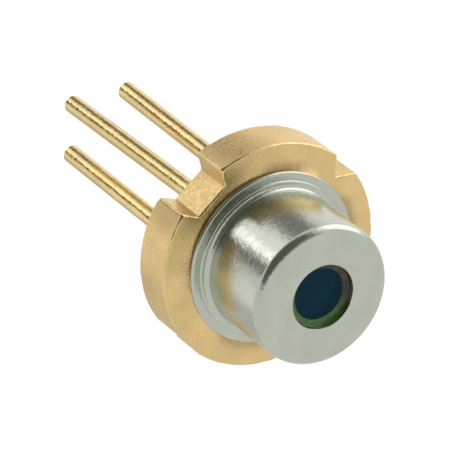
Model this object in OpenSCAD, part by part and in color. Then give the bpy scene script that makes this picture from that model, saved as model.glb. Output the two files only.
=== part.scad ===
// Laser diode in a 5.6 mm metal can.
// A notched, gold-plated stem carries three leads, two of them sealed in glass.
// A deep-drawn nickel cap with a sealed window is welded over the laser chip, its
// heat sink and its monitor photodiode. The origin is the centre of the stem's front
// face, the reference face that a holder seats on. +Z is the beam, and +Y points
// from the axis to the middle of the rectangular notch. Millimetres.

/* [Stem] */
// Diameter of the stem
stem_d = 5.6; // [5.4:0.1:6.4]
// Thickness of the stem
stem_t = 1.1; // [0.9:0.1:1.5]
// Bevel round both edges of the stem
stem_bevel = 0.05; // [0.02:0.01:0.08]
// Width of the rectangular index notch across its floor
notch_w = 0.9; // [0.6:0.05:1.1]
// Depth of the rectangular index notch
notch_depth = 0.48; // [0.3:0.02:0.5]
// Radius of the shoulders rolled over at the notch's mouth
notch_shoulder_r = 0.2; // [0.1:0.01:0.25]
// Depth of each V notch
vee_depth = 0.42; // [0.3:0.02:0.46]
// Angle between the walls of each V notch
vee_angle = 90; // [60:5:100]

/* [Leads] */
// Diameter of a lead
lead_d = 0.45; // [0.4:0.01:0.5]
// Length of the leads behind the stem
lead_l = 6.9; // [5.5:0.1:8]
// Diameter of the circle that the leads stand on
lead_circle_d = 2.0; // [1.9:0.05:2.2]
// Height of the domed tip of a lead
lead_tip_h = 0.12; // [0.06:0.01:0.2]
// Height of the laser lead's post above the stem
laser_post_h = 0.95; // [0.8:0.05:1.1]
// Height of the monitor lead's post above the stem
monitor_post_h = 0.3; // [0.2:0.05:0.5]
// Distance from a lead's axis to the bonding flat on the laser post
post_flat = 0.12; // [0.08:0.01:0.16]
// Height of the round stub below that flat
post_stub_h = 0.1; // [0.05:0.05:0.3]

/* [Glass seals and braze] */
// Diameter of a glass seal
seal_d = 0.9; // [0.8:0.05:1]
// Depth of the glass below the stem's back face
seal_recess = 0.05; // [0.02:0.01:0.1]
// Height that the glass creeps up a lead inside its recess
seal_creep = 0.03; // [0.01:0.01:0.04]
// Width of the braze fillet round the case lead
braze_w = 0.16; // [0.1:0.01:0.25]
// Height of the braze fillet round the case lead
braze_h = 0.14; // [0.08:0.01:0.25]

/* [Cap] */
// Height of the cap's front face above the reference face
cap_h = 2.4; // [2.1:0.1:3]
// Diameter of the cap's barrel
cap_d = 3.5; // [3.4:0.05:3.6]
// Thickness of the barrel's wall
cap_wall = 0.15; // [0.1:0.01:0.2]
// Thickness of the cap's front
front_t = 0.2; // [0.15:0.01:0.3]
// Radius of the cap's outer front corner
front_corner_r = 0.22; // [0.15:0.01:0.3]
// Radius of the cap's inner front corner
inner_corner_r = 0.1; // [0.05:0.01:0.12]
// Diameter of the aperture
aperture_d = 1.6; // [1.4:0.1:1.8]
// Width of the brim outside the barrel
brim_w = 0.4; // [0.36:0.01:0.5]
// Thickness of the brim, whose edge is fully rounded
brim_t = 0.12; // [0.1:0.01:0.16]
// Height of the pressed step on the brim
step_h = 0.05; // [0.03:0.01:0.07]
// Width of the flat on top of the step
step_land = 0.03; // [0.02:0.01:0.06]
// Radius of the fillet at the root of the barrel
root_r = 0.12; // [0.08:0.01:0.16]
// Radius of the flare at the cap's mouth
mouth_r = 0.12; // [0.08:0.01:0.15]
// Distance from the brim's edge to the middle of the weld ring
weld_inset = 0.15; // [0.14:0.01:0.18]
// Width of the weld ring
weld_w = 0.1; // [0.06:0.01:0.12]
// Height of the weld ring, the gap that it leaves under the brim
weld_h = 0.04; // [0.02:0.01:0.06]

/* [Window] */
// Thickness of the window
window_t = 0.25; // [0.2:0.05:0.4]
// Width of the frit ring that seals the window to the cap
frit_w = 0.18; // [0.1:0.01:0.2]
// Height of the frit ring
frit_h = 0.2; // [0.1:0.01:0.2]
// Gap between the frit ring and the cap's inner front corner
frit_gap = 0.07; // [0.03:0.01:0.15]

/* [Heat sink and submount] */
// Height of the emitting facet above the reference face
emit_z = 1.27; // [1.15:0.01:1.4]
// Width of the heat sink
sink_w = 1.0; // [0.9:0.05:1.05]
// Gap between the heat sink's round back and the cap
sink_gap = 0.3; // [0.15:0.05:0.5]
// Thickness of the braze under the heat sink
sink_braze_t = 0.03; // [0.02:0.01:0.05]
// Width of the braze that shows round the heat sink
sink_braze_rim = 0.02; // [0.01:0.01:0.03]
// Width of the submount
submount_w = 0.7; // [0.5:0.05:0.75]
// Height of the submount
submount_h = 0.6; // [0.5:0.05:0.8]
// Thickness of the submount
submount_t = 0.2; // [0.15:0.01:0.25]
// Thickness of each solder layer under the submount and the photodiode
solder_t = 0.02; // [0.02:0.005:0.03]

/* [Chips and bond wires] */
// Width of the laser chip
laser_w = 0.25; // [0.2:0.01:0.4]
// Length of the laser chip's cavity
laser_l = 0.3; // [0.25:0.05:0.45]
// Thickness of the laser chip
laser_t = 0.1; // [0.08:0.01:0.12]
// Width of the monitor photodiode
monitor_w = 0.5; // [0.4:0.05:0.6]
// Thickness of the monitor photodiode
monitor_t = 0.15; // [0.1:0.01:0.25]
// Distance from the beam axis to the middle of the photodiode
monitor_offset = 0.2; // [0.15:0.01:0.3]
// Diameter of a bond wire
wire_d = 0.03; // [0.025:0.005:0.04]
// Height of a bond wire's loop
wire_loop = 0.22; // [0.18:0.01:0.3]
// Distance from the end of a post or a chip to a bond on its side
bond_inset = 0.15; // [0.1:0.01:0.2]

/* [Hidden] */
$fn = 96;
// Overrun of a cut past the face that it opens
cut = 0.1;
// Segments in each rounded corner of an outline
corner_steps = 8;
// Rings and sides of a bond wire
wire_rings = 14;
wire_sides = 6;

stem_r = stem_d / 2;
lead_r = lead_d / 2;
cap_r = cap_d / 2;
bore_r = cap_r - cap_wall;
sink_back_r = bore_r - sink_gap;
// The window's front face and the frit lie against the inside of the cap's front
front_inner_z = cap_h - front_t;
frit_r = bore_r - inner_corner_r - frit_gap;
window_r = frit_r - frit_w;
brim_r = cap_r + brim_w;
brim_edge_r = brim_t / 2;
weld_mid_r = brim_r - weld_inset;
brim_top_z = weld_h + brim_t;
step_top_z = brim_top_z + step_h;
step_r = cap_r + root_r + step_land + step_h;
// Stacked behind the chip, whose bonded face lies on the beam axis
sink_y = submount_t + solder_t;

// Places of the leads, seen along the beam's axis
laser_at = [-lead_circle_d / 2, 0];
monitor_at = [lead_circle_d / 2, 0];
case_at = [0, lead_circle_d / 2];

GOLD = "#CFAE6A";
NICKEL = "#B4B5A9";
SEAL_GLASS = "#2E4A3C";
WINDOW_GLASS = "#1B4A5E";
BRAZE = "#D9C08A";
SOLDER = "#C9B89A";
SILICON = "#5B5F6B";
CERAMIC = "#D8D4C6";
SEMICONDUCTOR = "#3A3A40";

// Points along an arc about c, from angle a0 to a1
function arc(c, r, a0, a1) =
    [for (i = [0:corner_steps]) let (a = a0 + (a1 - a0) * i / corner_steps)
        c + r * [cos(a), sin(a)]];

function unit(v) = v / norm(v);

// A bond wire's path from a to b: it leaves both pads square, along up
function loop_point(a, b, up, t) =
    a + (b - a) * (1 - cos(180 * t)) / 2 + up * wire_loop * sin(180 * t);
function loop_slope(a, b, up, t) =
    unit((b - a) * sin(180 * t) / 2 + up * wire_loop * cos(180 * t));

// A wire of six flats swept along the loop, with each end flat on its pad
module bond_wire(a, b, up) {
    side = unit(cross(b - a, up));
    rings = [for (i = [0:wire_rings - 1], j = [0:wire_sides - 1])
        let (t = i / (wire_rings - 1), turn = 360 * j / wire_sides,
             across = cross(loop_slope(a, b, up, t), side))
        loop_point(a, b, up, t) + wire_d / 2 * (cos(turn) * side + sin(turn) * across)];
    walls = [for (i = [0:wire_rings - 2], j = [0:wire_sides - 1])
        let (k = (j + 1) % wire_sides, low = i * wire_sides, high = low + wire_sides)
        [low + j, high + j, high + k, low + k]];
    first_end = [for (j = [0:wire_sides - 1]) j];
    last_end = [for (j = [wire_sides - 1:-1:0]) (wire_rings - 1) * wire_sides + j];
    polyhedron(rings, concat([first_end], walls, [last_end]), convexity = 4);
}

// A box from one corner to the opposite one
module block(low, high) {
    translate(low)
        cube(high - low);
}

// A straight lead from the height top down to its domed tip behind the stem
module lead(at, top) {
    tip_z = -stem_t - lead_l;
    // Radius of a dome that is lead_tip_h high on the lead's own circle
    dome_r = (lead_r * lead_r + lead_tip_h * lead_tip_h) / (2 * lead_tip_h);
    translate([at[0], at[1], tip_z])
        intersection() {
            cylinder(r = lead_r, h = top - tip_z);
            union() {
                translate([0, 0, dome_r])
                    sphere(r = dome_r);
                translate([0, 0, lead_tip_h])
                    cylinder(r = 2 * lead_r, h = top - tip_z);
            }
        }
}

// A glass bead fused between a lead and its hole, dished down in its recess at the back
module lead_seal(at) {
    back_z = -stem_t + seal_recess;
    translate([at[0], at[1], 0])
        rotate_extrude()
            polygon([[lead_r, 0], [lead_r, back_z - seal_creep], [(lead_r + seal_d / 2) / 2, back_z],
                     [seal_d / 2, back_z], [seal_d / 2, 0]]);
}

// Outline of the rectangular notch: a flat floor, upright walls and round shoulders
// that end on the stem's rim
module notch_outline() {
    half_w = notch_w / 2;
    floor_y = stem_r - notch_depth;
    mouth_x = half_w + notch_shoulder_r;
    shoulder_y = sqrt(stem_r * stem_r - mouth_x * mouth_x) - notch_shoulder_r;
    side = concat([[half_w, floor_y]], arc([mouth_x, shoulder_y], notch_shoulder_r, 180, 90),
                  [[mouth_x, stem_r + cut]]);
    polygon(concat(side, [for (i = [len(side) - 1:-1:0]) [-side[i][0], side[i][1]]]));
}

// The disc that everything stands on, pressed and coined with three notches in its rim
module stem() {
    vee_reach = vee_depth + cut;
    vee_half_w = vee_reach * tan(vee_angle / 2);
    color(GOLD)
        difference() {
            rotate_extrude()
                polygon([[0, 0], [stem_r - stem_bevel, 0], [stem_r, -stem_bevel],
                         [stem_r, stem_bevel - stem_t], [stem_r - stem_bevel, -stem_t], [0, -stem_t]]);
            translate([0, 0, -stem_t - cut])
                linear_extrude(stem_t + 2 * cut)
                    notch_outline();
            for (turn = [0, 180])
                rotate(turn)
                    translate([stem_r - vee_depth, 0, -stem_t - cut])
                        linear_extrude(stem_t + 2 * cut)
                            polygon([[0, 0], [vee_reach, -vee_half_w], [vee_reach, vee_half_w]]);
            for (at = [laser_at, monitor_at])
                translate([at[0], at[1], -stem_t - cut])
                    cylinder(d = seal_d, h = stem_t + 2 * cut);
        }
}

// Outline of the heat sink from above, grown by rim on its three open sides
module sink_outline(rim) {
    intersection() {
        circle(r = sink_back_r + rim);
        translate([-sink_w / 2 - rim, sink_y - rim])
            square([sink_w + 2 * rim, sink_back_r + 2 * rim]);
    }
}

module heat_sink_braze() {
    color(BRAZE)
        linear_extrude(sink_braze_t)
            sink_outline(sink_braze_rim);
}

module heat_sink() {
    color(GOLD)
        translate([0, 0, sink_braze_t])
            linear_extrude(emit_z - sink_braze_t)
                sink_outline(0);
}

module submount_solder() {
    color(SOLDER)
        block([-submount_w / 2, submount_t, emit_z - submount_h], [submount_w / 2, sink_y, emit_z]);
}

module submount() {
    color(CERAMIC)
        block([-submount_w / 2, 0, emit_z - submount_h], [submount_w / 2, submount_t, emit_z]);
}

module laser_chip() {
    color(SEMICONDUCTOR)
        block([-laser_w / 2, -laser_t, emit_z - laser_l], [laser_w / 2, 0, emit_z]);
}

module monitor_solder() {
    color(SOLDER)
        block([-monitor_w / 2, -monitor_offset - monitor_w / 2, 0],
              [monitor_w / 2, -monitor_offset + monitor_w / 2, solder_t]);
}

module monitor_chip() {
    color(SILICON)
        block([-monitor_w / 2, -monitor_offset - monitor_w / 2, solder_t],
              [monitor_w / 2, -monitor_offset + monitor_w / 2, solder_t + monitor_t]);
}

// Its post is flattened towards -Y, the side that the chip is bonded from
module laser_lead() {
    color(GOLD)
        difference() {
            lead(laser_at, laser_post_h);
            translate([laser_at[0], laser_at[1], 0])
                block([-lead_d, -post_flat - lead_d, post_stub_h], [lead_d, -post_flat, laser_post_h + cut]);
        }
}

module monitor_lead() {
    color(GOLD)
        lead(monitor_at, monitor_post_h);
}

module laser_lead_seal() {
    color(SEAL_GLASS)
        lead_seal(laser_at);
}

module monitor_lead_seal() {
    color(SEAL_GLASS)
        lead_seal(monitor_at);
}

// Butt-brazed to the stem's back, so that it carries the case's potential
module case_lead() {
    color(GOLD)
        lead(case_at, -stem_t);
}

// A hollow fillet from the case lead out to the stem's back
module case_lead_braze() {
    // The fillet's section bows inwards along a quarter ellipse
    fillet = [for (i = [0:corner_steps]) let (a = 90 * i / corner_steps)
        [lead_r + braze_w * (1 - sin(a)), -braze_h * (1 - cos(a))]];
    color(BRAZE)
        translate([case_at[0], case_at[1], -stem_t])
            rotate_extrude()
                polygon(concat([[lead_r, 0]], fillet));
}

// From the laser post's flat to the top of the chip
module chip_wire() {
    color(GOLD)
        bond_wire([laser_at[0], -post_flat, laser_post_h - bond_inset],
                  [0, -laser_t, emit_z - bond_inset], [0, -1, 0]);
}

// From the submount's metallised face to the heat sink beside it
module submount_wire() {
    color(GOLD)
        bond_wire([(submount_w + laser_w) / 4, 0, emit_z - bond_inset],
                  [(submount_w + sink_w) / 4, sink_y, emit_z - bond_inset], [0, -1, 0]);
}

// From the photodiode's pad to the end of the monitor post
module monitor_wire() {
    color(GOLD)
        bond_wire([monitor_w / 4, -monitor_offset, solder_t + monitor_t],
                  [monitor_at[0], monitor_at[1], monitor_post_h], [0, 0, 1]);
}

// Deep drawn in one piece: weld ring, rounded brim, pressed step, barrel and pierced front
module cap() {
    outside = concat(
        [[weld_mid_r - weld_w / 2, weld_h], [weld_mid_r - weld_w / 2, 0],
         [weld_mid_r + weld_w / 2, 0], [weld_mid_r + weld_w / 2, weld_h]],
        arc([brim_r - brim_edge_r, weld_h + brim_edge_r], brim_edge_r, -90, 90),
        arc([step_r - step_h, brim_top_z], step_h, 0, 90),
        arc([cap_r + root_r, step_top_z + root_r], root_r, 270, 180),
        arc([cap_r - front_corner_r, cap_h - front_corner_r], front_corner_r, 0, 90),
        [[aperture_d / 2, cap_h]]);
    inside = concat(
        [[aperture_d / 2, front_inner_z]],
        arc([bore_r - inner_corner_r, front_inner_z - inner_corner_r], inner_corner_r, 90, 0),
        arc([bore_r + mouth_r, weld_h + mouth_r], mouth_r, 180, 270));
    color(NICKEL)
        rotate_extrude()
            polygon(concat(outside, inside));
}

module window() {
    color(WINDOW_GLASS)
        translate([0, 0, front_inner_z - window_t])
            cylinder(r = window_r, h = window_t);
}

// A sloped ring of glass frit round the window's edge, fused to the inside of the front
module window_seal() {
    color(SEAL_GLASS)
        rotate_extrude()
            polygon([[window_r, front_inner_z], [window_r, front_inner_z - frit_h],
                     [window_r + frit_w / 2, front_inner_z - frit_h / 3], [frit_r, front_inner_z]]);
}

stem();
heat_sink_braze();
heat_sink();
submount_solder();
submount();
laser_chip();
monitor_solder();
monitor_chip();
laser_lead();
laser_lead_seal();
monitor_lead();
monitor_lead_seal();
case_lead();
case_lead_braze();
chip_wire();
submount_wire();
monitor_wire();
cap();
window();
window_seal();
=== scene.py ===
"""Laser diode in a metal can: the looks of its plated stem, leads, drawn cap, window and chips.

Everything is in metres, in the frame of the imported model: the origin is the centre of the stem's
front face, +Z is the beam, and +Y points to the rectangular notch.
"""

import math

import bmesh
import bpy
import numpy as np
from mathutils import Matrix, Vector
from mathutils.geometry import delaunay_2d_cdt


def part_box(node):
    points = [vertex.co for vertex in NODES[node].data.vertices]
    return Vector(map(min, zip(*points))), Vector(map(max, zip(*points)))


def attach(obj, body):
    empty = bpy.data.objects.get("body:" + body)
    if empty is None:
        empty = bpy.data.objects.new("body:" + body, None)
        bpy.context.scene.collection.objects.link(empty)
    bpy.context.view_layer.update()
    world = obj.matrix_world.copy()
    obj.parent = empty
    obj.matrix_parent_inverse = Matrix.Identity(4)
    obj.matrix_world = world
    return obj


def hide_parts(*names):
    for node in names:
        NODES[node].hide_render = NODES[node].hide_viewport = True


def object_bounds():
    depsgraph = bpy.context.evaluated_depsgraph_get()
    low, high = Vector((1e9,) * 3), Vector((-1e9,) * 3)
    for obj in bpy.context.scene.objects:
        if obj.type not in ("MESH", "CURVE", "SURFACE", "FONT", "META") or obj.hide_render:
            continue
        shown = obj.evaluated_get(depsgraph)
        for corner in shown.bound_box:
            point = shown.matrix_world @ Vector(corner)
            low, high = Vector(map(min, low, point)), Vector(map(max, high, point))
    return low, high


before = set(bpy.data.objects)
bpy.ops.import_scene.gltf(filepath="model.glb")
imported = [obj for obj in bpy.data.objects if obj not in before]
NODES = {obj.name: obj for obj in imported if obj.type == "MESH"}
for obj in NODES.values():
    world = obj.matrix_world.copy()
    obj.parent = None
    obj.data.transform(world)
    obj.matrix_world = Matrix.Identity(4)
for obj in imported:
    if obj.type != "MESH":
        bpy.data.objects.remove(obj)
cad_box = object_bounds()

bl_info = {
    "name": "Laser diode",
    "version": (1, 0, 0),
    "blender": (4, 5, 0),
    "location": "3D View > Sidebar > Laser diode",
    "description": "Builds the plated stem, leads, cap, window and chips of a laser diode",
    "category": "Object",
}

MM = 0.001
CDT_INSIDE_WITH_HOLES = 2
# A Mix node has a set of sockets for each kind of value, and these are its factor and its colours
MIX_FACTOR, MIX_A, MIX_B, MIX_RESULT = 0, 6, 7, 2

stem_low, stem_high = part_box("stem")
cap_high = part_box("cap")[1]
window_low, window_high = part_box("window")
frit_low, frit_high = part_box("window_seal")
laser_low, laser_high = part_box("laser_lead")
monitor_low, monitor_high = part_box("monitor_lead")
case_low, case_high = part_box("case_lead")
seal_low, seal_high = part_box("laser_lead_seal")
braze_low, braze_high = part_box("case_lead_braze")
chip_low, chip_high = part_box("laser_chip")
submount_low, submount_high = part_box("submount")
monitor_chip_low, monitor_chip_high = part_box("monitor_chip")
sink_low, sink_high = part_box("heat_sink")

# The V notches cut the stem's widest points away, so its radius is read along Y
STEM_R = -stem_low.y
LEAD_R = (case_high.x - case_low.x) / 2
LASER_AT = Vector(((laser_low.x + laser_high.x) / 2, 0))
MONITOR_AT = Vector(((monitor_low.x + monitor_high.x) / 2, 0))
CASE_AT = Vector((0, (case_low.y + case_high.y) / 2))
SEAL_R = (seal_high.x - seal_low.x) / 2


def linear(hex_colour):
    """Turns an sRGB hex colour such as "#EED294" into linear red, green and blue."""
    share = np.array([int(hex_colour[i:i + 2], 16) for i in (1, 3, 5)]) / 255
    low = share / 12.92
    high = ((share + 0.055) / 1.055) ** 2.4
    return tuple(float(x) for x in np.where(share <= 0.04045, low, high))


def length(name, description, default, low, high):
    """A size in metres that a user can change."""
    return bpy.props.FloatProperty(name=name, description=description, default=default,
                                   min=low, max=high, subtype="DISTANCE", unit="LENGTH", precision=6)


def colour(name, description, hex_colour):
    """A surface colour that a user can change."""
    return bpy.props.FloatVectorProperty(name=name, description=description, subtype="COLOR",
                                         size=3, min=0, max=1, default=linear(hex_colour))


class StemSettings(bpy.types.PropertyGroup):
    """Sizes and plating of the stem."""
    notch_width: length("Notch width", "Width of the rectangular notch across its floor",
                        0.9 * MM, 0.6 * MM, 1.1 * MM)
    notch_depth: length("Notch depth", "Depth of the rectangular notch", 0.48 * MM, 0.3 * MM, 0.5 * MM)
    notch_lean: bpy.props.FloatProperty(name="Notch lean", default=math.radians(28),
                                        description="Lean of the rectangular notch's walls",
                                        min=0, max=math.radians(35),
                                        subtype="ANGLE", unit="ROTATION")
    vee_depth: length("V depth", "Depth of each V notch", 0.42 * MM, 0.3 * MM, 0.46 * MM)
    vee_angle: bpy.props.FloatProperty(name="V angle", description="Angle between a V notch's walls",
                                       default=math.radians(90), min=math.radians(60),
                                       max=math.radians(100), subtype="ANGLE", unit="ROTATION")
    bevel: length("Edge radius", "Radius of the stem's coined edges", 0.05 * MM, 0.02 * MM, 0.08 * MM)
    gold: colour("Stem gold", "Colour of the satin gold plating", "#F6D698")


class CapSettings(bpy.types.PropertyGroup):
    """Sizes and plating of the cap."""
    wall: length("Wall", "Thickness of the barrel's wall", 0.15 * MM, 0.1 * MM, 0.2 * MM)
    barrel_radius: length("Barrel radius", "Radius of the cap's barrel", 1.75 * MM, 1.7 * MM, 1.8 * MM)
    front_corner: length("Front corner", "Radius of the outer front corner",
                         0.22 * MM, 0.15 * MM, 0.3 * MM)
    inner_corner: length("Inner corner", "Radius of the inner front corner",
                         0.1 * MM, 0.05 * MM, 0.12 * MM)
    aperture_radius: length("Aperture radius", "Radius of the aperture", 0.8 * MM, 0.7 * MM, 0.9 * MM)
    aperture_edge: length("Aperture edge", "Radius of the aperture's broken edge",
                          0.02 * MM, 0.01 * MM, 0.04 * MM)
    brim: length("Brim thickness", "Thickness of the brim", 0.12 * MM, 0.1 * MM, 0.16 * MM)
    step: length("Step height", "Height of the pressed step on the brim", 0.05 * MM, 0.03 * MM, 0.07 * MM)
    step_land: length("Step land", "Width of the flat on top of the step",
                      0.03 * MM, 0.02 * MM, 0.06 * MM)
    root: length("Root radius", "Radius of the fillet at the root of the barrel",
                 0.12 * MM, 0.08 * MM, 0.16 * MM)
    weld_inset: length("Weld inset", "Distance from the brim's edge to the middle of the weld ring",
                       0.15 * MM, 0.14 * MM, 0.18 * MM)
    weld_width: length("Weld width", "Width of the weld ring", 0.1 * MM, 0.06 * MM, 0.12 * MM)
    weld_height: length("Weld height", "Height of the weld ring", 0.04 * MM, 0.02 * MM, 0.06 * MM)
    mouth: length("Mouth radius", "Radius of the flare at the cap's mouth", 0.12 * MM, 0.08 * MM, 0.15 * MM)
    nickel: colour("Cap nickel", "Colour of the nickel plating", "#CED2C4")


class LeadSettings(bpy.types.PropertyGroup):
    """Sizes and plating of the leads."""
    tip: length("Tip height", "Height of a lead's domed tip", 0.12 * MM, 0.06 * MM, 0.2 * MM)
    post_flat: length("Post flat", "Distance from the laser lead's axis to its bonding flat",
                      0.12 * MM, 0.08 * MM, 0.16 * MM)
    post_stub: length("Post stub", "Height of the round stub below the bonding flat",
                      0.1 * MM, 0.05 * MM, 0.3 * MM)
    creep: length("Glass creep", "Height that the glass creeps up a lead in its recess",
                  0.03 * MM, 0.01 * MM, 0.04 * MM)
    gold: colour("Lead gold", "Colour of the bright gold plating", "#F4D798")


class OpticsSettings(bpy.types.PropertyGroup):
    """Sizes and colours of the window and the bond wires."""
    wire: length("Wire diameter", "Diameter of a bond wire", 0.03 * MM, 0.025 * MM, 0.04 * MM)
    wire_loop: length("Wire loop", "Height of a bond wire's loop", 0.22 * MM, 0.18 * MM, 0.3 * MM)
    bond_inset: length("Bond inset", "Distance from the end of a post or a chip to a bond on its side",
                       0.15 * MM, 0.1 * MM, 0.2 * MM)
    glass: colour("Window glass", "Tint of the window's glass", "#5B8A98")
    frit: colour("Frit glass", "Colour of the green sealing glass", "#3C6428")
    fillet: colour("Fillet glass", "Colour of the glass fillet round the window", "#4F8030")


class StageSettings(bpy.types.PropertyGroup):
    """The camera's place and the floor."""
    azimuth: bpy.props.FloatProperty(name="Azimuth", description="The camera's angle round the beam axis",
                                     default=math.radians(94.023), subtype="ANGLE", unit="ROTATION")
    elevation: bpy.props.FloatProperty(name="Elevation", description="The camera's height angle",
                                       default=math.radians(49.9), subtype="ANGLE", unit="ROTATION")
    roll: bpy.props.FloatProperty(name="Roll", description="The camera's turn about its own view axis",
                                  default=math.radians(127.712), subtype="ANGLE", unit="ROTATION")
    distance: length("Distance", "Distance from the camera to the point that it looks at",
                     119.84 * MM, 50 * MM, 500 * MM)
    target: bpy.props.FloatVectorProperty(name="Target", description="The point that the camera looks at",
                                          size=3, subtype="TRANSLATION", unit="LENGTH",
                                          default=(-0.1285 * MM, 0.9378 * MM, -0.8035 * MM))
    lens: bpy.props.FloatProperty(name="Lens", description="Focal length in millimetres",
                                  default=416.93, min=50, max=2000)
    floor_gap: length("Floor gap", "Gap between the lead tips and the floor", 5 * MM, 0, 50 * MM)


# ---------------------------------------------------------------- shapes

def arc(centre, radius, start, end, steps=10):
    """Points at equal angles along a circular arc, from start to end degrees."""
    turn = np.radians(np.linspace(start, end, steps + 1))
    return np.array(centre) + radius * np.stack([np.cos(turn), np.sin(turn)], axis=1)


def fillet(before, corner, after, radius, steps=8):
    """The arc of that radius that touches both sides of a corner.

    Its centre lies on the corner's bisector, radius / sin(half the corner's angle) from it, and the
    points between its two ends are spread by slerp."""
    before, corner, after = (np.array(p, float) for p in (before, corner, after))
    side0 = (before - corner) / np.linalg.norm(before - corner)
    side1 = (after - corner) / np.linalg.norm(after - corner)
    half = np.arccos(np.clip(side0 @ side1, -1, 1)) / 2
    bisector = (side0 + side1) / np.linalg.norm(side0 + side1)
    centre = corner + bisector * radius / np.sin(half)
    reach = radius / np.tan(half)
    spoke0, spoke1 = corner + side0 * reach - centre, corner + side1 * reach - centre
    sweep = np.pi - 2 * half
    share = np.linspace(0, 1, steps + 1)[:, None]
    return centre + (spoke0 * np.sin((1 - share) * sweep) + spoke1 * np.sin(share * sweep)) / np.sin(sweep)


def resample(points, count, closed=False):
    """Points at equal distances along a polyline, found by linear interpolation on its length."""
    line = np.vstack([points, points[:1]]) if closed else np.asarray(points)
    along = np.concatenate([[0], np.cumsum(np.linalg.norm(np.diff(line, axis=0), axis=1))])
    places = np.linspace(0, along[-1], count + 1 if closed else count)
    spread = np.stack([np.interp(places, along, line[:, k]) for k in range(line.shape[1])], axis=1)
    return spread[:-1] if closed else spread


def grid_faces(rows, columns, wrap=False):
    """Quads between the neighbouring rows and columns of a grid, whose columns may close up."""
    index = np.arange(rows * columns).reshape(rows, columns)
    right = np.roll(index, -1, axis=1)
    if not wrap:
        index, right = index[:, :-1], right[:, :-1]
    return np.stack([index[:-1], right[:-1], right[1:], index[1:]], axis=-1).reshape(-1, 4)


def lathe(profile, at=(0, 0), sides=256):
    """Turns a profile of (radius, height) points about the upright axis through at.

    A point at angle t is (radius cos t, radius sin t, height)."""
    profile = np.asarray(profile)
    turn = np.linspace(0, 2 * np.pi, sides, endpoint=False)
    radius, height = profile[:, :1], profile[:, 1:]
    points = np.stack([at[0] + radius * np.cos(turn), at[1] + radius * np.sin(turn),
                       height + 0 * turn], axis=-1)
    return points.reshape(-1, 3), grid_faces(len(profile), sides, wrap=True)


def sweep(path, radius, sides=10):
    """A round tube along a path in space, closed at both ends by its first and last rings.

    A ring's point at angle t is path + radius (cos t side + sin t across), where across is square
    to the path's slope and to side, which is square to the plane of the whole path."""
    path = np.asarray(path)
    slope = np.gradient(path, axis=0)
    slope /= np.linalg.norm(slope, axis=1, keepdims=True)
    middle = path[len(path) // 2]
    side = np.cross(path[-1] - path[0], middle - path[0])
    side /= np.linalg.norm(side)
    across = np.cross(slope, side)
    turn = np.linspace(0, 2 * np.pi, sides, endpoint=False)[None, :, None]
    radius = np.broadcast_to(radius, len(path))[:, None, None]
    rings = path[:, None] + radius * (np.cos(turn) * side + np.sin(turn) * across[:, None])
    rings = np.concatenate([np.broadcast_to(path[0], rings[:1].shape), rings,
                            np.broadcast_to(path[-1], rings[:1].shape)])
    return rings.reshape(-1, 3), grid_faces(len(path) + 2, sides, wrap=True)


def waves(count, seed, lowest, highest):
    """A smooth closed random row of numbers from about -1 to 1, a sum of sine waves of seeded phase."""
    random = np.random.default_rng(seed)
    turns = np.arange(lowest, highest + 1)
    phases = random.uniform(0, 2 * np.pi, len(turns))
    strengths = random.uniform(0.4, 1, len(turns))
    along = np.linspace(0, 2 * np.pi, count, endpoint=False)
    total = (strengths * np.sin(np.outer(along, turns) + phases)).sum(axis=1)
    return total / np.sqrt((strengths ** 2).sum()) / 1.5


# ---------------------------------------------------------------- pieces

def piece(name, meshes, replaced, materials, smooth_angle=35):
    """Makes one object from (points, faces, material number) parts and puts it in the frame.

    Rings that meet in one point or along a seam are merged, and the shell is turned outwards."""
    points = np.concatenate([part[0] for part in meshes])
    starts = np.cumsum([0] + [len(part[0]) for part in meshes[:-1]])
    faces = [face for part, start in zip(meshes, starts)
             for face in (np.asarray(part[1]) + start).tolist()]
    numbers = np.concatenate([np.broadcast_to(part[2], len(part[1])) for part in meshes])
    mesh = bpy.data.meshes.new(name)
    mesh.from_pydata(points.tolist(), [], faces)
    mesh.polygons.foreach_set("material_index", numbers.astype(np.int32))
    for material in materials:
        mesh.materials.append(material)
    work = bmesh.new()
    work.from_mesh(mesh)
    bmesh.ops.remove_doubles(work, verts=work.verts, dist=1e-4 * MM)
    bmesh.ops.dissolve_degenerate(work, edges=work.edges, dist=1e-4 * MM)
    bmesh.ops.recalc_face_normals(work, faces=work.faces)
    work.to_mesh(mesh)
    work.free()
    mesh.shade_smooth()
    mesh.set_sharp_from_angle(angle=math.radians(smooth_angle))
    made = bpy.data.objects.new(name, mesh)
    bpy.context.scene.collection.objects.link(made)
    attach(made, "root")
    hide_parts(*replaced)
    return made


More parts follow.
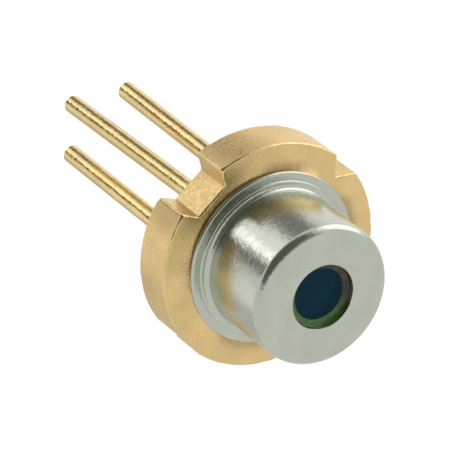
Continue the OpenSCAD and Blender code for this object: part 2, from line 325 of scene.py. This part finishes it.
def stem_outline(sizes):
    """The stem seen along the beam: the rim's circle with a rectangular notch and two V notches.

    The half on the +X side runs clockwise from the middle of the notch's floor, and the other half
    is its mirror image. A wall meets the rim where a line from its foot crosses the circle, and the
    rim's arcs stop corner_gap degrees short of it, where the corner's fillet takes over."""
    inner_r, outer_r, run_out = 0.04 * MM, 0.05 * MM, 0.4 * MM
    corner_gap, outline_points = 1.5, 2400

    def to_rim(foot, direction):
        along = np.dot(foot, direction)
        return foot + direction * (math.sqrt(along ** 2 - np.dot(foot, foot) + STEM_R ** 2) - along)

    def clockwise(point):
        return np.array([point[1], -point[0]]) / STEM_R * run_out

    def angle(point):
        return math.degrees(math.atan2(point[1], point[0]))

    floor_y = STEM_R - sizes.notch_depth
    middle, foot = np.array([0, floor_y]), np.array([sizes.notch_width / 2, floor_y])
    mouth = to_rim(foot, np.array([math.sin(sizes.notch_lean), math.cos(sizes.notch_lean)]))
    apex = np.array([STEM_R - sizes.vee_depth, 0])
    vee = to_rim(apex, np.array([math.cos(sizes.vee_angle / 2), math.sin(sizes.vee_angle / 2)]))
    vee_end = vee * [1, -1]
    half = np.concatenate([
        [middle],
        fillet(middle, foot, mouth, inner_r),
        fillet(foot, mouth, mouth + clockwise(mouth), outer_r),
        arc([0, 0], STEM_R, angle(mouth) - corner_gap, angle(vee) + corner_gap, 90),
        fillet(vee - clockwise(vee), vee, apex, outer_r),
        fillet(vee, apex, vee_end, inner_r),
        fillet(apex, vee_end, vee_end + clockwise(vee_end), outer_r),
        arc([0, 0], STEM_R, angle(vee_end) - corner_gap, -90, 110)])
    mirrored = half[1:-1][::-1] * [-1, 1]
    return resample(np.concatenate([half, mirrored]), outline_points, closed=True), mouth


def stem_mesh(sizes):
    """The edge profile carried along the outline, with flat faces front and back and two bored holes.

    A point is outline - inset(v) normal(u) at height(v): a quarter circle in, the wall, and a
    quarter circle out. The edge's radius varies a little along the outline, as a coined edge does."""
    outline, mouth = stem_outline(sizes)
    along = np.roll(outline, -1, axis=0) - np.roll(outline, 1, axis=0)
    along /= np.linalg.norm(along, axis=1, keepdims=True)
    # The outline runs clockwise, so the outward side is to the left of its direction
    normal = np.stack([-along[:, 1], along[:, 0]], axis=1)
    ridge_reach, notch_reach, ridge_gain, rubbed_from = 0.09 * MM, 0.6 * MM, 1.1, 0.55
    upper = outline[:, 1] > 0
    ridge = np.exp(-(np.linalg.norm(np.abs(outline) - mouth, axis=1) / ridge_reach) ** 2) * upper
    notched = np.exp(-(np.abs(outline[:, 0]) / notch_reach) ** 8) * upper
    broad_wear = 0.22 * waves(len(outline), seed=3, lowest=8, highest=60)
    notch_burr = notched * 0.35 * waves(len(outline), seed=5, lowest=60, highest=200)
    edge_r = sizes.bevel * (1 + ridge_gain * ridge + (broad_wear + notch_burr))[:, None]
    turn = np.radians(np.linspace(0, 90, 7))
    bottom, top = stem_low.z, stem_high.z
    inset = edge_r * (1 - np.sin(turn))
    drop = edge_r * (1 - np.cos(turn))
    front = outline[:, None] - normal[:, None] * inset[..., None]
    walls = np.linspace(0, 1, 8)[1:-1]
    front_z = top - drop
    back_z = bottom + drop
    wall_z = front_z[:, -1:] + (back_z[:, -1:] - front_z[:, -1:]) * walls
    wall_xy = np.repeat(outline[:, None], len(walls), axis=1)
    plan = np.concatenate([front, wall_xy, front[:, ::-1]], axis=1)
    height = np.concatenate([front_z, wall_z, back_z[:, ::-1]], axis=1)
    points = np.concatenate([plan, height[..., None]], axis=2).transpose(1, 0, 2)
    faces = grid_faces(points.shape[0], points.shape[1], wrap=True)
    row = np.arange(len(faces)) // points.shape[1]
    rubbed = np.tile(ridge > rubbed_from, points.shape[0] - 1)
    rolled = (row < len(turn) - 1) | (row >= points.shape[0] - len(turn)) | rubbed
    side = (points.reshape(-1, 3), faces, rolled.astype(int))

    holes = [arc(at, SEAL_R, 0, 360, 128)[:-1] for at in (LASER_AT, MONITOR_AT)]
    flat = stem_flat(points[0, :, :2], holes)
    faces_front = (np.column_stack([flat[0], np.full(len(flat[0]), top)]), flat[1], 0)
    faces_back = (np.column_stack([flat[0], np.full(len(flat[0]), bottom)]), flat[1][:, ::-1], 0)
    bores = [lathe([[SEAL_R, top], [SEAL_R, bottom]], at, 128) + (0,) for at in (LASER_AT, MONITOR_AT)]
    return [side, faces_front, faces_back] + bores


def stem_flat(outline, holes):
    """Triangles between an outline and the holes in it, as a constrained Delaunay triangulation."""
    loops = [outline] + holes
    points = np.concatenate(loops)
    starts = np.cumsum([0] + [len(loop) for loop in loops])
    edges = np.concatenate([
        np.stack([start + np.arange(len(loop)), start + np.roll(np.arange(len(loop)), -1)], axis=1)
        for start, loop in zip(starts, loops)])
    corners = [Vector(p) for p in points / MM]
    found = delaunay_2d_cdt(corners, edges.tolist(), [], CDT_INSIDE_WITH_HOLES, 1e-6)
    return np.array([[p.x, p.y] for p in found[0]]) * MM, np.array([list(f) for f in found[2]])


def cap_mesh(sizes):
    """The drawn cap, turned from one closed profile: weld ring, brim, step, barrel, front, bore."""
    barrel_r, bore_r = sizes.barrel_radius, sizes.barrel_radius - sizes.wall
    brim_r, edge_r = cap_high.x, sizes.brim / 2
    weld_r, half_weld = brim_r - sizes.weld_inset, sizes.weld_width / 2
    brim_top = sizes.weld_height + sizes.brim
    step_top = brim_top + sizes.step
    step_r = barrel_r + sizes.root + sizes.step_land + sizes.step
    front_z, inner_z = cap_high.z, window_high.z
    corner, inner, mouth, edge = sizes.front_corner, sizes.inner_corner, sizes.mouth, sizes.aperture_edge
    profile = np.concatenate([
        [[weld_r - half_weld, sizes.weld_height], [weld_r - half_weld, 0],
         [weld_r + half_weld, 0], [weld_r + half_weld, sizes.weld_height]],
        arc([brim_r - edge_r, sizes.weld_height + edge_r], edge_r, -90, 90, 16),
        arc([step_r - sizes.step, brim_top], sizes.step, 0, 90, 10),
        arc([barrel_r + sizes.root, step_top + sizes.root], sizes.root, 270, 180, 14),
        arc([barrel_r - corner, front_z - corner], corner, 0, 90, 20),
        arc([sizes.aperture_radius + edge, front_z - edge], edge, 90, 180, 6),
        [[sizes.aperture_radius, inner_z]],
        arc([bore_r - inner, inner_z - inner], inner, 90, 0, 8),
        arc([bore_r + mouth, sizes.weld_height + mouth], mouth, 180, 270, 8)])
    return lathe(np.concatenate([profile, profile[:1]]), sides=320) + (0,)


def lead_mesh(sizes, at, tip_z, top_z, lean, flat=None):
    """A round lead with a domed tip, turned as (radius, height), with its post flattened if asked.

    The dome is the arc of a circle that is tip high over the lead's own radius. Behind the stem the
    lead bends out of true by lean times the way to its tip to the power of bend."""
    dome_r = (LEAD_R ** 2 + sizes.tip ** 2) / (2 * sizes.tip)
    reach = math.degrees(math.asin(LEAD_R / dome_r))
    dome = arc([0, tip_z + dome_r], dome_r, -90, -90 + reach, 10)
    edge, bend = 0.02 * MM, 1.3
    shaft = np.stack([np.full(40, LEAD_R), np.linspace(tip_z + sizes.tip, top_z - edge, 40)], axis=1)
    profile = np.concatenate([dome, shaft[1:], arc([LEAD_R - edge, top_z - edge], edge, 0, 90, 4),
                              [[0, top_z]]])
    points, faces = lathe(profile, at, 96)
    way = np.clip((stem_low.z - points[:, 2]) / (stem_low.z - tip_z), 0, 1)[:, None]
    points[:, :2] += np.array(lean) * way ** bend
    if flat is not None:
        on_post = points[:, 2] > sizes.post_stub
        points[:, 1] = np.where(on_post, np.maximum(points[:, 1], at[1] - flat), points[:, 1])
    return points, faces, 0


def seal_mesh(sizes, at):
    """A glass bead round a lead, its back dished by the meniscus that creeps up the lead.

    The meniscus's depth falls off as the square of the distance from the lead."""
    share = np.linspace(0, 1, 12)
    radius = LEAD_R + (SEAL_R - LEAD_R) * share
    height = seal_low.z + sizes.creep * (1 - (1 - share) ** 2)
    back = np.stack([radius, height], axis=1)
    profile = np.concatenate([[[LEAD_R, seal_high.z]], back, [[SEAL_R, seal_high.z], [LEAD_R, seal_high.z]]])
    return lathe(profile, at, 96) + (0,)


def braze_mesh():
    """A hollow fillet round the case lead, whose section is a quarter of an ellipse."""
    width, height = braze_high.x - LEAD_R, braze_high.z - braze_low.z
    turn = np.radians(np.linspace(0, 90, 14))
    fillet_line = np.stack([LEAD_R + width * (1 - np.sin(turn)),
                            braze_high.z - height * (1 - np.cos(turn))], axis=1)
    profile = np.concatenate([[[LEAD_R, braze_high.z]], fillet_line, [[LEAD_R, braze_high.z]]])
    return lathe(profile, CASE_AT, 96) + (0,)


def bond_wire_mesh(sizes, start, end, up):
    """A fine wire from start to end that leaves both pads square and arches between them.

    At share t it is start + (end - start) (1 - cos pi t) / 2 + up loop sin pi t. Each end is
    widened to a round foot, where a wedge bond sits."""
    start, end, up = (np.array(p, float) for p in (start, end, up))
    share = np.linspace(0, 1, 40)[:, None]
    path = (start + (end - start) * (1 - np.cos(np.pi * share)) / 2
            + up * sizes.wire_loop * np.sin(np.pi * share))
    near_end = np.minimum(share, 1 - share)[:, 0]
    radius = sizes.wire / 2 * (1 + 0.7 * np.exp(-(near_end / 0.03) ** 2))
    return sweep(path, radius, 12) + (0,)


def window_mesh(aperture_r):
    """The window's glass, a disc with a bevel round both its edges, and the glass fillet in front.

    The fillet rises from the clear middle to the aperture's wall along a quarter of an ellipse."""
    radius, bevel = window_high.x, 0.015 * MM
    low, high = window_low.z, window_high.z
    profile = [[0, high], [radius - bevel, high], [radius, high - bevel],
               [radius, low + bevel], [radius - bevel, low], [0, low]]
    clear_r, rise = 0.64 * MM, 0.09 * MM
    turn = np.radians(np.linspace(0, 90, 12))
    hollow = np.stack([clear_r + (aperture_r - clear_r) * np.sin(turn),
                       high + rise * (1 - np.cos(turn))], axis=1)
    sealed = np.concatenate([hollow, [[aperture_r, high], [clear_r, high]]])
    return [lathe(profile, sides=160) + (0,), lathe(sealed, sides=160) + (1,)]


def frit_mesh():
    """The ring of frit round the window, with a hollow fillet between the glass and the cap.

    At angle t the fillet is (outer radius - width sin t, low + height (cos t) ** 1.5)."""
    inner_r, outer_r = window_high.x, frit_high.x
    width, height = outer_r - inner_r, frit_high.z - frit_low.z
    turn = np.radians(np.linspace(0, 90, 12))
    hollow = np.stack([outer_r - width * np.sin(turn),
                       frit_low.z + height * np.cos(turn) ** 1.5], axis=1)
    profile = np.concatenate([[[inner_r, frit_high.z]], hollow, [[inner_r, frit_high.z]]])
    return lathe(profile, sides=160) + (0,)


# ---------------------------------------------------------------- materials

def add(tree, kind, inputs=(), **settings):
    """Adds a node, applies its settings, and sets each of its inputs or links it to a socket."""
    made = tree.nodes.new(kind)
    for name, value in settings.items():
        setattr(made, name, value)
    for key, value in dict(inputs).items():
        if isinstance(value, bpy.types.NodeSocket):
            tree.links.new(value, made.inputs[key])
        else:
            made.inputs[key].default_value = value
    return made


def blank(name):
    """A material with an empty node tree, and its object coordinates in metres."""
    material = bpy.data.materials.new(name)
    material.use_nodes = True
    tree = material.node_tree
    tree.nodes.clear()
    return material, tree, add(tree, "ShaderNodeTexCoord").outputs["Object"]


def rgba(rgb, factor=1.0):
    """A colour for a node's socket, made darker or lighter by one factor."""
    return (*(min(1.0, x * factor) for x in rgb), 1.0)


def grain(tree, place, size, detail=3, stretch=(1, 1, 1), roughness=0.5):
    """Noise whose lumps are about size metres across, longer where stretch is above 1."""
    scaled = add(tree, "ShaderNodeMapping", {"Vector": place, "Scale": [1 / s for s in stretch]})
    return add(tree, "ShaderNodeTexNoise", {"Vector": scaled.outputs[0], "Scale": 1 / size,
                                            "Detail": detail, "Roughness": roughness}).outputs["Fac"]


def spread(tree, value, low, high, start=0.3, end=0.7):
    """Turns a value from start to end into low to high."""
    return add(tree, "ShaderNodeMapRange", {"Value": value, "From Min": start, "From Max": end,
                                            "To Min": low, "To Max": high}).outputs[0]


def plated(name, rgb, metallic, roughness, mottle, pits, pit_depth, drift=0.12, stretch=(1, 1, 1)):
    """A plated metal: a shade that drifts over mottle metres, and pits of pits metres that dull it.

    roughness is the range from its brightest to its dullest spots, and pit_depth is in metres."""
    material, tree, place = blank(name)
    broad = grain(tree, place, mottle, 2)
    fine = grain(tree, place, pits, 3, stretch)
    shade = add(tree, "ShaderNodeMix", {
        MIX_FACTOR: spread(tree, broad, 0, 1), MIX_A: rgba(rgb, 1 - drift),
        MIX_B: rgba(rgb, 1 + drift / 3)}, data_type="RGBA")
    dull = spread(tree, fine, roughness[0], roughness[1])
    bump = add(tree, "ShaderNodeBump", {"Height": fine, "Strength": 1.0, "Distance": pit_depth})
    shader = add(tree, "ShaderNodeBsdfPrincipled", {
        "Base Color": shade.outputs[MIX_RESULT], "Metallic": metallic, "Roughness": dull,
        "Normal": bump.outputs[0]})
    add(tree, "ShaderNodeOutputMaterial", {"Surface": shader.outputs[0]})
    return material


def satin_gold(rgb):
    """Gold electroplate over a coined steel stem: satin, with a fine grain left by the press tool."""
    return plated("satin gold plate on coined steel", rgb, 1.0, (0.24, 0.5), 0.9 * MM,
                  0.06 * MM, 0.008 * MM)


def burnished_gold(rgb):
    """The same gold where handling in the plating barrel has rubbed the edges bright."""
    return plated("burnished gold edge", rgb, 1.0, (0.14, 0.26), 0.5 * MM, 0.05 * MM, 0.006 * MM)


def bright_gold(rgb):
    """Gold electroplate over drawn wire: bright, with small pits drawn out along the wire."""
    return plated("bright gold plate on drawn wire", rgb, 1.0, (0.08, 0.22), 0.8 * MM,
                  0.06 * MM, 0.008 * MM, stretch=(1, 1, 1.8))


def drawn_nickel(rgb):
    """Bright nickel over a deep-drawn cap: polished, a little uneven where the draw stretched it."""
    return plated("nickel plate on drawn steel", rgb, 1.0, (0.16, 0.26), 0.5 * MM,
                  0.1 * MM, 0.006 * MM, drift=0.06)


def window_glass(rgb):
    """Optical glass with an anti-reflection coat that leaves a blue reflection."""
    material, tree, _ = blank("coated optical glass")
    shader = add(tree, "ShaderNodeBsdfPrincipled", {
        "Base Color": rgba(rgb), "Roughness": 0.02, "IOR": 1.52, "Transmission Weight": 1.0,
        "Specular IOR Level": 0.8, "Specular Tint": rgba(linear("#2FB8E6"))})
    add(tree, "ShaderNodeOutputMaterial", {"Surface": shader.outputs[0]})
    return material


def seal_glass(rgb):
    """Fused compression glass: dark green, glossy, with small bubbles under its skin."""
    material, tree, place = blank("fused sealing glass")
    bubbles = add(tree, "ShaderNodeTexVoronoi", {"Vector": place, "Scale": 1 / (0.06 * MM)})
    shade = add(tree, "ShaderNodeMix", {
        MIX_FACTOR: spread(tree, bubbles.outputs["Distance"], 0, 1, 0.1, 0.5),
        MIX_A: rgba(rgb, 1.3), MIX_B: rgba(rgb, 0.8)}, data_type="RGBA")
    shader = add(tree, "ShaderNodeBsdfPrincipled", {
        "Base Color": shade.outputs[MIX_RESULT], "Roughness": 0.08, "IOR": 1.52})
    add(tree, "ShaderNodeOutputMaterial", {"Surface": shader.outputs[0]})
    return material


def fillet_glass(rgb):
    """Sealing glass drawn thin over metal: clear green, with painted shade that darkens it to brown towards
    +X.
    """
    material, tree, place = blank("sealing glass fillet")
    across = add(tree, "ShaderNodeSeparateXYZ", {0: place}).outputs["X"]
    # Painted shade: the fillet's colour turns from green to dark brown across X, darkest on the +X side
    shaded_side = spread(tree, across, 0, 1, -0.1 * MM, 0.45 * MM)
    blotch = spread(tree, grain(tree, place, 0.12 * MM, 3), -0.35, 0.35)
    share = add(tree, "ShaderNodeMath", {0: shaded_side, 1: blotch}, operation="ADD", use_clamp=True)
    # The dark brown is the painted shade, mixed in towards +X and broken up by the blotches
    shade = add(tree, "ShaderNodeMix", {
        MIX_FACTOR: share.outputs[0], MIX_A: rgba(rgb), MIX_B: rgba(linear("#3A2A24"))}, data_type="RGBA")
    shader = add(tree, "ShaderNodeBsdfPrincipled", {
        "Base Color": shade.outputs[MIX_RESULT], "Roughness": 0.12, "IOR": 1.52})
    add(tree, "ShaderNodeOutputMaterial", {"Surface": shader.outputs[0]})
    return material


def fired_ceramic(rgb):
    """Lapped aluminium nitride: matte and pale, with a fine fired grain."""
    return plated("lapped aluminium nitride", rgb, 0.0, (0.5, 0.65), 0.2 * MM, 0.01 * MM, 0.0003 * MM)


def polished_die(name, rgb):
    """A sawn semiconductor die with a polished, faintly metallised top."""
    return plated(name, rgb, 0.6, (0.12, 0.25), 0.15 * MM, 0.008 * MM, 0.0001 * MM)


def settings():
    """The settings that the panel shows."""
    return bpy.context.scene.laser_diode


class LaserDiodeSettings(bpy.types.PropertyGroup):
    """All the settings of the laser diode."""
    stem: bpy.props.PointerProperty(type=StemSettings, name="Stem", description="The plated stem")
    cap: bpy.props.PointerProperty(type=CapSettings, name="Cap", description="The drawn cap")
    leads: bpy.props.PointerProperty(type=LeadSettings, name="Leads", description="The three leads")
    optics: bpy.props.PointerProperty(type=OpticsSettings, name="Optics", description="Window and chips")
    stage: bpy.props.PointerProperty(type=StageSettings, name="Stage", description="Camera and floor")


# ---------------------------------------------------------------- operators

class LASERDIODE_OT_stem(bpy.types.Operator):
    """Builds the stem with its notches and bores"""
    bl_idname = "laser_diode.stem"
    bl_label = "Stem"

    def execute(self, context):
        sizes = settings().stem
        piece("stem_disc", stem_mesh(sizes), ["stem"],
              [satin_gold(sizes.gold), burnished_gold(sizes.gold)])
        return {"FINISHED"}


class LASERDIODE_OT_cap(bpy.types.Operator):
    """Builds the drawn cap"""
    bl_idname = "laser_diode.cap"
    bl_label = "Cap"

    def execute(self, context):
        sizes = settings().cap
        piece("cap_shell", [cap_mesh(sizes)], ["cap"], [drawn_nickel(sizes.nickel)])
        return {"FINISHED"}


class LASERDIODE_OT_leads(bpy.types.Operator):
    """Builds the three leads, their glass seals and the case lead's braze"""
    bl_idname = "laser_diode.leads"
    bl_label = "Leads"

    def execute(self, context):
        sizes = settings().leads
        gold = bright_gold(sizes.gold)
        glass = seal_glass(settings().optics.frit)
        tip_z = case_low.z
        piece("laser_pin", [lead_mesh(sizes, LASER_AT, tip_z, laser_high.z,
                                       (0.02 * MM, 0.10 * MM), sizes.post_flat)],
              ["laser_lead"], [gold])
        piece("monitor_pin", [lead_mesh(sizes, MONITOR_AT, tip_z, monitor_high.z,
                                         (0.05 * MM, 0.10 * MM))],
              ["monitor_lead"], [gold])
        piece("case_pin", [lead_mesh(sizes, CASE_AT, tip_z, case_high.z,
                                      (-0.08 * MM, 0.07 * MM))],
              ["case_lead"], [gold])
        piece("laser_pin_bead", [seal_mesh(sizes, LASER_AT)], ["laser_lead_seal"], [glass])
        piece("monitor_pin_bead", [seal_mesh(sizes, MONITOR_AT)], ["monitor_lead_seal"],
              [glass])
        piece("case_pin_fillet", [braze_mesh()], ["case_lead_braze"], [gold])
        return {"FINISHED"}


class LASERDIODE_OT_window(bpy.types.Operator):
    """Builds the window and its frit ring"""
    bl_idname = "laser_diode.window"
    bl_label = "Window"

    def execute(self, context):
        sizes = settings().optics
        piece("window_disc", window_mesh(settings().cap.aperture_radius), ["window"],
              [window_glass(sizes.glass), fillet_glass(sizes.fillet)])
        piece("window_frit", [frit_mesh()], ["window_seal"], [seal_glass(sizes.frit)])
        return {"FINISHED"}


class LASERDIODE_OT_chips(bpy.types.Operator):
    """Finishes the chips and their mounts, and strings the bond wires"""
    bl_idname = "laser_diode.chips"
    bl_label = "Chips and wires"

    def execute(self, context):
        sizes = settings().optics
        leads = settings().leads
        gold = satin_gold(settings().stem.gold)
        solder = plated("gold tin solder", linear("#C9B89A"), 1.0, (0.3, 0.45), 0.1 * MM,
                        0.01 * MM, 0.0003 * MM)
        ceramic = fired_ceramic(linear("#D8D4C6"))
        laser = polished_die("cleaved gallium arsenide", linear("#4A4A52"))
        silicon = polished_die("polished silicon", linear("#5B5F6B"))
        finishes = {"heat_sink": gold, "heat_sink_braze": gold, "submount": ceramic,
                    "submount_solder": solder, "monitor_solder": solder, "laser_chip": laser,
                    "monitor_chip": silicon}
        for node, material in finishes.items():
            mesh = NODES[node].data
            mesh.materials.clear()
            mesh.materials.append(material)
        wire = bright_gold(leads.gold)
        beside_chip = (submount_high.x + chip_high.x) / 2
        beside_submount = (submount_high.x + sink_high.x) / 2
        bond_z = chip_high.z - sizes.bond_inset
        piece("chip_bond", [bond_wire_mesh(
            sizes, (LASER_AT.x, -leads.post_flat, laser_high.z - sizes.bond_inset),
            (0, chip_low.y, bond_z), (0, -1, 0))], ["chip_wire"], [wire])
        piece("submount_bond", [bond_wire_mesh(
            sizes, (beside_chip, submount_low.y, bond_z), (beside_submount, sink_low.y, bond_z),
            (0, -1, 0))], ["submount_wire"], [wire])
        monitor_y = (monitor_chip_low.y + monitor_chip_high.y) / 2
        piece("monitor_bond", [bond_wire_mesh(
            sizes, (monitor_chip_high.x / 2, monitor_y, monitor_chip_high.z),
            (MONITOR_AT.x, 0, monitor_high.z), (0, 0, 1))], ["monitor_wire"], [wire])
        return {"FINISHED"}


# ---------------------------------------------------------------- stage

def camera_axes(stage):
    """The camera's right, up and backward axes in the part's frame, from its three angles.

    Backward points from the target to the camera. Before the roll, right is level."""
    cos_e, sin_e = math.cos(stage.elevation), math.sin(stage.elevation)
    back = Vector((math.cos(stage.azimuth) * cos_e, math.sin(stage.azimuth) * cos_e, sin_e))
    level = Vector((-math.sin(stage.azimuth), math.cos(stage.azimuth), 0))
    steep = back.cross(level)
    right = level * math.cos(stage.roll) + steep * math.sin(stage.roll)
    return right, back.cross(right), back


def panel(tree, view, under, direction, reach, fade, strength, axes):
    """Lays one soft panel of light over the colour under it and gives the new colour.

    It is full within reach degrees of its middle and fades out over fade more degrees, by the
    cosine of the angle between its middle and the direction that is looked in. direction is
    given as right, up and towards the camera."""
    middle = sum((axis * part for axis, part in zip(axes, direction)), Vector()).normalized()
    cosine = add(tree, "ShaderNodeVectorMath", {0: view, 1: middle}, operation="DOT_PRODUCT")
    share = add(tree, "ShaderNodeMapRange", {
        "Value": cosine.outputs["Value"], "From Min": math.cos(math.radians(reach + fade)),
        "From Max": math.cos(math.radians(reach))}, interpolation_type="SMOOTHSTEP")
    mixed = add(tree, "ShaderNodeMix", {MIX_FACTOR: share.outputs[0], MIX_A: under, MIX_B: strength},
                data_type="RGBA", clamp_result=False)
    return mixed.outputs[MIX_RESULT]


def studio_light(axes):
    """The light round the object: a pale tent with brighter panels and dark openings.

    It is white wherever the camera itself looks at it."""
    world = bpy.data.worlds.new("tent")
    bpy.context.scene.world = world
    world.use_nodes = True
    tree = world.node_tree
    tree.nodes.clear()
    view = add(tree, "ShaderNodeTexCoord").outputs["Generated"]
    light = (0.74, 0.75, 0.74, 1)
    # Right, up, towards the camera; reach; fade; strength
    panels = [
        ((0, 0, -1), 22, 18, (1, 1, 1, 1)),
        ((-0.54, -0.29, -0.79), 16, 14, (0.57, 0.57, 0.56, 1)),
        ((0.15, 0.50, -0.85), 18, 14, (0.95, 0.95, 0.95, 1)),
        ((-0.90, -0.05, -0.44), 8, 8, (0.92, 0.92, 0.92, 1)),
        ((-0.24, 0.89, -0.38), 4, 15, (0.2, 0.2, 0.2, 1)),
        ((0.40, 0.20, 0.90), 18, 12, (0.22, 0.21, 0.19, 1)),
        ((-0.27, 0.42, 0.87), 41, 11, (0.12, 0.12, 0.105, 1)),
        ((-0.89, 0.41, -0.20), 4, 8, (0.12, 0.12, 0.12, 1)),
        ((-0.62, 0.76, -0.20), 5, 8, (1.15, 1.15, 1.15, 1)),
        ((-0.79, 0.61, -0.07), 3, 6, (2.0, 2.0, 2.0, 1)),
        ((0.68, 0.72, -0.07), 20, 12, (1.8, 1.8, 1.8, 1)),
    ]
    for direction, reach, fade, strength in panels:
        light = panel(tree, view, light, direction, reach, fade, strength, axes)
    tent = add(tree, "ShaderNodeBackground", {"Color": light, "Strength": 1.0})
    white = add(tree, "ShaderNodeBackground", {"Color": (1, 1, 1, 1), "Strength": 1.0})
    seen = add(tree, "ShaderNodeLightPath").outputs["Is Camera Ray"]
    mixed = add(tree, "ShaderNodeMixShader", {0: seen, 1: tent.outputs[0], 2: white.outputs[0]})
    add(tree, "ShaderNodeOutputWorld", {"Surface": mixed.outputs[0]})


def floor_paper():
    """Plain white paper: it glows a little to the camera, so that only the shadow shows on it, and
    its back is clear, so that the object can be seen from below."""
    material, tree, _ = blank("plain white paper")
    paper = add(tree, "ShaderNodeBsdfDiffuse", {"Color": (0.8, 0.8, 0.8, 1)})
    glow = add(tree, "ShaderNodeEmission", {"Color": (1, 1, 1, 1), "Strength": 0.6})
    seen = add(tree, "ShaderNodeLightPath").outputs["Is Camera Ray"]
    dark = add(tree, "ShaderNodeEmission", {"Color": (0, 0, 0, 1), "Strength": 0})
    to_camera = add(tree, "ShaderNodeMixShader", {0: seen, 1: dark.outputs[0], 2: glow.outputs[0]})
    lit = add(tree, "ShaderNodeAddShader", {0: paper.outputs[0], 1: to_camera.outputs[0]})
    clear = add(tree, "ShaderNodeBsdfTransparent")
    behind = add(tree, "ShaderNodeNewGeometry").outputs["Backfacing"]
    whole = add(tree, "ShaderNodeMixShader", {0: behind, 1: lit.outputs[0], 2: clear.outputs[0]})
    add(tree, "ShaderNodeOutputMaterial", {"Surface": whole.outputs[0]})
    return material


class LASERDIODE_OT_stage(bpy.types.Operator):
    """Sets up the camera, the soft light and the floor"""
    bl_idname = "laser_diode.stage"
    bl_label = "Stage"

    def execute(self, context):
        stage = settings().stage
        right, up, back = camera_axes(stage)
        camera = bpy.data.objects.new("camera", bpy.data.cameras.new("camera"))
        context.scene.collection.objects.link(camera)
        place = Vector(stage.target) + back * stage.distance
        camera.matrix_world = Matrix.Translation(place) @ Matrix((right, up, back)).transposed().to_4x4()
        camera.data.sensor_width = 36
        camera.data.lens = stage.lens
        camera.data.clip_start, camera.data.clip_end = 1 * MM, 10
        context.scene.camera = camera
        studio_light((right, up, back))

        floor_z = cad_box[0].z - stage.floor_gap
        reach = 400 * MM
        corners = np.array([[-1, -1], [1, -1], [1, 1], [-1, 1]]) * reach
        mesh = bpy.data.meshes.new("floor")
        mesh.from_pydata([(x, y, floor_z) for x, y in corners], [], [(0, 1, 2, 3)])
        mesh.materials.append(floor_paper())
        floor = bpy.data.objects.new("floor", mesh)
        context.scene.collection.objects.link(floor)
        # Gloss shows the tent all round, so the floor is out of its sight and casts no shade on it
        floor.visible_glossy = False
        floor.visible_transmission = False
        floor.visible_shadow = False
        context.scene.view_settings.view_transform = "Standard"
        return {"FINISHED"}


class LASERDIODE_PT_panel(bpy.types.Panel):
    """Lists the sizes, colours and steps of the laser diode."""
    bl_idname = "LASERDIODE_PT_panel"
    bl_label = "Laser diode"
    bl_space_type = "VIEW_3D"
    bl_region_type = "UI"
    bl_category = "Laser diode"

    def draw(self, context):
        shown = settings()
        for group, steps in PANEL_ROWS:
            box = self.layout.box()
            values = getattr(shown, group)
            for name in values.__annotations__:
                box.prop(values, name)
            for step in steps:
                box.operator(step)


PANEL_ROWS = [
    ("stem", ["laser_diode.stem"]),
    ("cap", ["laser_diode.cap"]),
    ("leads", ["laser_diode.leads"]),
    ("optics", ["laser_diode.window", "laser_diode.chips"]),
    ("stage", ["laser_diode.stage"]),
]

CLASSES = [StemSettings, CapSettings, LeadSettings, OpticsSettings, StageSettings, LaserDiodeSettings,
           LASERDIODE_OT_stem, LASERDIODE_OT_cap, LASERDIODE_OT_leads, LASERDIODE_OT_window,
           LASERDIODE_OT_chips, LASERDIODE_OT_stage, LASERDIODE_PT_panel]


def register():
    for cls in CLASSES:
        bpy.utils.register_class(cls)
    bpy.types.Scene.laser_diode = bpy.props.PointerProperty(type=LaserDiodeSettings)


def unregister():
    del bpy.types.Scene.laser_diode
    for cls in reversed(CLASSES):
        bpy.utils.unregister_class(cls)


def main():
    """Registers the classes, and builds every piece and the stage."""
    register()
    bpy.ops.laser_diode.stage()
    bpy.ops.laser_diode.stem()
    bpy.ops.laser_diode.cap()
    bpy.ops.laser_diode.leads()
    bpy.ops.laser_diode.window()
    bpy.ops.laser_diode.chips()


if __name__ == "__main__":
    main()
